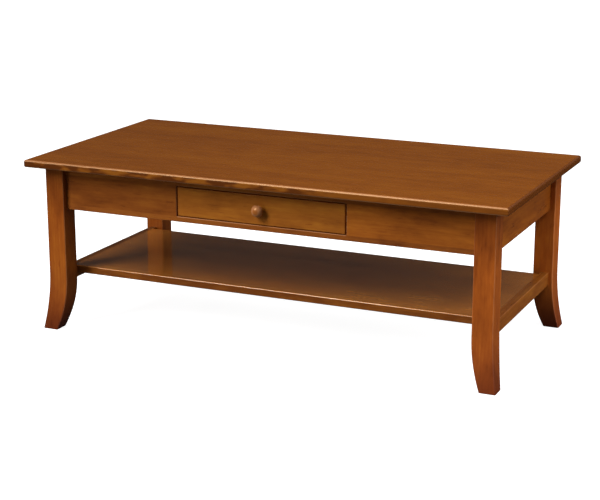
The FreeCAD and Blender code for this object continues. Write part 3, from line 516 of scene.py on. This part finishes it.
# The shelf: its lighter tint is partly painted light against the shade under the top, and its long edges are
# made darker, painted shade.
shelf = stained_wood("shelf_wood", "X", (0.71, 0.05, -0.02), (1.14, 1.30, 1.40), figure=0.6, gloss=0.08,
                     coat=0.8, edge_tone=-0.28, edge_figure=0.10, edge_wear_and_light=0.25)
front = stained_wood("front_apron_wood", "X", (0.40, 0.36, -0.30), (0.88, 0.88, 1.15), soak=0.3)
# The left apron board is darker and the right one lighter: partly painted light, stronger on the right.
front_left = stained_wood("front_apron_wood_left", "X", (1.45, 0.41, -0.27), (0.80, 0.77, 0.95), soak=0.3)
front_right = stained_wood("front_apron_wood_right", "X", (0.40, 0.36, -0.30), (1.22, 1.22, 1.20), soak=0.3)
# The drawer front's rounded edges are dark red: painted shade from the gap round the drawer.
drawer = stained_wood("drawer_front_wood", "X", (1.90, 0.33, -0.42), (1.14, 1.27, 1.25), soak=0.3, edge_wear_and_light=0.9,
                      edge_colour=EDGE_PAINTED_SHADE)
rear = stained_wood("rear_apron_wood", "X", (2.60, -0.36, -0.29))
knob = stained_wood("knob_wood", "X", (0.20, 0.02, -0.35), (1.05, 1.15, 1.80), figure=0.4, soak=0.0)
dress(["top_panel"], top)
dress(["shelf_panel"], shelf)
dress(["front_rail_upper", "front_rail_lower"], front)
dress(["front_apron_left"], front_left)
dress(["front_apron_right"], front_right)
dress(["drawer_front"], drawer)
dress(["rear_apron"], rear)
dress(["drawer_knob"], knob)
# The rails' upper faces are darkened as painted shade, the left one more than the right.
for side, shift, stain, upper in (("left", 0.0, 1.0, 0.35), ("right", 3.1, 0.87, 0.75)):
    apron = stained_wood("end_apron_wood_" + side, "Y", (0.90 + shift, 0.62, -0.31), END_APRON_TINT)
    rail = stained_wood("shelf_rail_wood_" + side, "Y", (1.70 + shift, 0.60, -0.09), (stain, stain, 1.0),
                        edge_wear_and_light=0.15, upper=upper)
    dress(["end_apron_" + side], apron)
    dress(["shelf_rail_" + side], rail)
# Each leg gets its own tone, partly painted light, and the painted shade ramp near its top and foot.
for index, (corner, shade) in enumerate(LEG_TONE_AND_LIGHT.items()):
    shift = (0.37 * index, 0.31 - 0.02 * index, 0.62 - 0.01 * index)
    tint = np.multiply(LEG_TINT, shade)
    dress(["leg_" + corner], stained_wood("leg_wood_" + corner, "Z", shift, tint, edge_wear_and_light=0.25, painted_shade=True))
slot_of = {part["node"]: part["material_slot"] for part in frame["record"]["subparts"]}
print("stained wood on", sum(slot == "stained_wood" for slot in slot_of.values()), "nodes")

# %% [markdown]
# ## Plain wood, plywood and steel out of sight
# Inside, a joiner leaves the drawer box, its runners and the corner blocks in pale planed wood, and cuts the
# drawer bottom from plywood. The clips and screws are zinc plated steel.

# %% Pale wood, plywood and steel
PALE_DARK = (0.40, 0.255, 0.125)
PALE_LIGHT = (0.60, 0.43, 0.25)
PALE_BROAD = (2.0, 16.0, 16.0)
PALE_FIBRE = (8.0, 380.0, 380.0)
PLANED_BUMP = 0.3
PLANED_DEPTH = 0.0002
VENEER_DARK = (0.46, 0.31, 0.17)
VENEER_LIGHT = (0.62, 0.46, 0.28)
VENEER_BROAD = (2.0, 9.0, 9.0)
VENEER_FIBRE = (5.0, 240.0, 240.0)
LAYER_DARK = (0.30, 0.19, 0.10)
LAYER_LIGHT = (0.58, 0.42, 0.25)
LAYER_PAIR = 0.0024
ZINC_DARK = (0.42, 0.43, 0.45)
ZINC_LIGHT = (0.62, 0.62, 0.62)
CLOUD_SCALE = (260.0, 260.0, 260.0)
GRIT_SCALE = (2500.0, 2500.0, 2500.0)


def planed_surface(tree, colour, fibre):
    """Bare planed wood: dull, with its fibres a little raised."""
    bump = tree.add("Bump", {"Strength": PLANED_BUMP, "Distance": PLANED_DEPTH, "Height": fibre})
    roughness = tree.math("MULTIPLY_ADD", fibre, 0.2, 0.5)
    tree.surface({"Base Color": colour, "Roughness": roughness, "Normal": bump, "IOR": WOOD_IOR})


def pale_wood(name, grain, shift):
    """Planed wood with no stain: faint rings and fine fibres."""
    material, tree = new_material(name)
    along = grain_space(tree, grain, shift)
    broad = tree.noise(tree.stretch(along, PALE_BROAD), 3.0)
    fibre = tree.noise(tree.stretch(along, PALE_FIBRE), 3.0, 0.6)
    tone = tree.math("MULTIPLY_ADD", fibre, 0.5, 0.15)
    tone = tree.math("MULTIPLY_ADD", growth_rings(tree, along), -0.22, tone)
    tone = tree.math("MULTIPLY_ADD", broad, 0.5, tone)
    planed_surface(tree, tree.ramp(tone, [(0.15, PALE_DARK), (0.85, PALE_LIGHT)]), fibre)
    return material


def plywood(name):
    """Pale veneer on the faces; thin layers, light and dark in turn, on the edges."""
    material, tree = new_material(name)
    along = grain_space(tree, "X", (0.3, 0.2, -0.1))
    fibre = tree.noise(tree.stretch(along, VENEER_FIBRE), 3.0, 0.6)
    broad = tree.noise(tree.stretch(along, VENEER_BROAD), 3.0)
    tone = tree.math("MULTIPLY_ADD", broad, 0.5, tree.math("MULTIPLY", fibre, 0.5))
    veneer = tree.ramp(tone, [(0.25, VENEER_DARK), (0.75, VENEER_LIGHT)])
    layer = tree.math("FRACT", tree.math("DIVIDE", tree.parts(tree.place())[2], LAYER_PAIR))
    stripes = tree.ramp(layer, [(0.42, LAYER_DARK), (0.58, LAYER_LIGHT)])
    face = tree.remap(tree.math("ABSOLUTE", tree.parts(tree.normal())[2]), 0.4, 0.6)
    planed_surface(tree, tree.blend(face, stripes, veneer), fibre)
    return material


def zinc_steel(name):
    """Zinc plated steel: a dull bright metal with faint clouding."""
    material, tree = new_material(name)
    place = tree.place()
    cloud = tree.noise(tree.stretch(place, CLOUD_SCALE), 3.0)
    grit = tree.noise(tree.stretch(place, GRIT_SCALE), 1.0)
    colour = tree.ramp(cloud, [(0.3, ZINC_DARK), (0.7, ZINC_LIGHT)])
    roughness = tree.math("MULTIPLY_ADD", cloud, 0.25, 0.22)
    bump = tree.add("Bump", {"Strength": 0.15, "Distance": 0.0001, "Height": grit})
    tree.surface({"Base Color": colour, "Roughness": roughness, "Normal": bump, "Metallic": 1.0})
    return material


GRAIN_OF_PALE = {"drawer_back": "X", "drawer_stop_block": "X", "shelf_dowels": "X"}
GRAIN_OF_PALE.update({name: "X" for name in nodes if name.startswith("corner_block")})
steel = zinc_steel("zinc_steel")
for index, (name, slot) in enumerate(sorted(slot_of.items())):
    if slot == "drawer_wood":
        shift = (0.53 * index, 0.21 + 0.013 * index, -0.25)
        dress([name], pale_wood("pale_" + name, GRAIN_OF_PALE.get(name, "Y"), shift))
    elif slot == "plywood":
        dress([name], plywood("plywood_" + name))
    elif slot == "steel":
        dress([name], steel)
print("inner pieces dressed:", sum(slot != "stained_wood" for slot in slot_of.values()))

# %% [markdown]
# ## Screws with a thread and a cross slot
# Screws hold the top to the corner blocks and clips, the knob to the drawer and the drawer bottom to its
# back. In the CAD model they are plain pins. A modelled thread could be cut with a helix and a boolean, which
# is slow and leaves a rough mesh. A turned piece is simpler: a profile goes once round its axis, and on the
# shank its radius rises and falls with the height less the angle, so one grid of points gives a clean helix.

# %% Screw surface
AROUND = 36
DOME_ROWS = 13
DOME_RISE = 0.0009
THREAD_PITCH = 0.0017
THREAD_ROWS = 7
THREAD_CORE = 0.72
RIDGE_SLOPE = 4.0
TIP_LENGTH = 0.004
TIP_SHARE = 0.05
SLOT_DEPTH = 0.0014
SLOT_HALF = 0.0006
SLOT_END = 1.6
SLOT_REACH = 0.62
HAIR = 1e-6


def screw_profile(head_radius, head_thick, shank_radius, length):
    """Radius and height down the screw: dome of the head, its rim, its flat underside, the shank, the tip."""
    dome = np.linspace(0.0, 1.0, DOME_ROWS + 1)[1:]
    shank = np.arange(head_thick, length, THREAD_PITCH / THREAD_ROWS)[1:]
    radius = np.concatenate([head_radius * dome, [head_radius], np.full(shank.size, shank_radius)])
    height = np.concatenate([DOME_RISE * dome ** 2, [head_thick], shank])
    return radius, height


def screw_points(head_radius, head_thick, shank_radius, length):
    """Points in the screw's own frame, head up at 0 and tip at length: (r cos a, r sin a, h). On the shank r
    is the core plus a ridge over the fraction of h / pitch - a / turn; on the dome h sinks in two bars."""
    radius, height = screw_profile(head_radius, head_thick, shank_radius, length)
    angle = np.arange(AROUND) * 2 * np.pi / AROUND
    r, h, a = np.broadcast_arrays(radius[:, None], height[:, None], angle)
    phase = (h / THREAD_PITCH - a / (2 * np.pi)) % 1.0
    ridge = np.clip(1.0 - np.abs(phase - 0.5) * RIDGE_SLOPE, 0.0, 1.0)
    taper = np.clip((length - h) / TIP_LENGTH, 0.0, 1.0)
    thread = shank_radius * (THREAD_CORE + (1.0 - THREAD_CORE) * ridge) * np.maximum(taper, TIP_SHARE)
    r = np.where(h > head_thick + HAIR, thread, r)
    x, y = r * np.cos(a), r * np.sin(a)
    bar = np.minimum(np.abs(x), np.abs(y))
    on_dome = (r < SLOT_REACH * head_radius) * (h < head_thick / 2)
    slot = np.clip(SLOT_END - bar / SLOT_HALF, 0.0, 1.0) * on_dome
    rows = np.stack([x, y, h + SLOT_DEPTH * slot], -1).reshape(-1, 3)
    return np.concatenate([[[0.0, 0.0, SLOT_DEPTH]], rows, [[0.0, 0.0, length]]])


def screw_faces(count):
    """Triangles round both poles and quads between the rows, seen from outside."""
    rows = (count - 2) // AROUND
    first = np.arange(AROUND)
    following = (first + 1) % AROUND
    near = np.stack([np.zeros_like(first), first + 1, following + 1], -1)
    start = 1 + (rows - 1) * AROUND
    far = np.stack([np.full_like(first, count - 1), start + following, start + first], -1)
    base = 1 + np.arange(rows - 1)[:, None] * AROUND
    quads = np.stack([base + first, base + AROUND + first, base + AROUND + following, base + following], -1)
    return near.tolist() + quads.reshape(-1, 4).tolist() + far.tolist()


print("screw surface ready")

# %% [markdown]
# ## Putting the screws where the plain pins are
# Each node holds a few pins far apart, so the points of one pin are those near its first point. The pin's box
# then gives its place, its length and the way it points.

# %% Screws in place
HEAD_THICK = 0.0025
SHANK_RADIUS = 0.002
PIN_REACH = 0.02
SCREW_NODES = {
    "corner_block_screws": (2, 1),
    "top_clip_screws": (2, 1),
    "stop_block_screw": (2, 1),
    "drawer_bottom_screws": (2, 1),
    "knob_screw": (1, -1),
}


def pins_of(node, axis):
    """Lowest and highest corner of each pin in a node."""
    mesh = nodes[node].data
    points = np.empty(len(mesh.vertices) * 3, np.float32)
    mesh.vertices.foreach_get("co", points)
    points = points.reshape(-1, 3).astype(float)
    boxes = []
    while len(points):
        offset = np.delete(points - points[0], axis, 1)
        near = np.hypot(*offset.T) < PIN_REACH
        boxes.append((points[near].min(0), points[near].max(0)))
        points = points[~near]
    return boxes


def threaded_screws(node, axis, way):
    """All screws of a node as one piece, and their count; way is +1 where they point along the axis and -1
    against it. A swap of two axes or a turned way mirrors the points, so the faces are turned to match."""
    corners, faces = [], []
    across = [i for i in range(3) if i != axis]
    flip = way * (-1 if axis == 1 else 1) > 0
    pins = pins_of(node, axis)
    for low, high in pins:
        head_radius = (high - low)[across[0]] / 2
        local = screw_points(head_radius, HEAD_THICK, SHANK_RADIUS, (high - low)[axis])
        placed = np.empty_like(local)
        placed[:, across] = ((low + high) / 2)[across] + local[:, :2]
        placed[:, axis] = (low[axis] if way > 0 else high[axis]) + way * local[:, 2]
        outward = [face[::-1] if flip else face for face in screw_faces(len(local))]
        faces += [[i + len(corners) for i in face] for face in outward]
        corners += placed.tolist()
    mesh = bpy.data.meshes.new(node + "_threaded")
    mesh.from_pydata(corners, [], faces)
    mesh.shade_smooth()
    mesh.materials.append(steel)
    piece = bpy.data.objects.new(node + "_threaded", mesh)
    bpy.context.scene.collection.objects.link(piece)
    body = "drawer" if node in frame["record"]["behaviour"]["bodies"]["drawer"] else "table"
    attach(piece, body)
    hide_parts(node)
    return len(pins)


made = {node: threaded_screws(node, *way) for node, way in SCREW_NODES.items()}
print("threaded screws:", made)
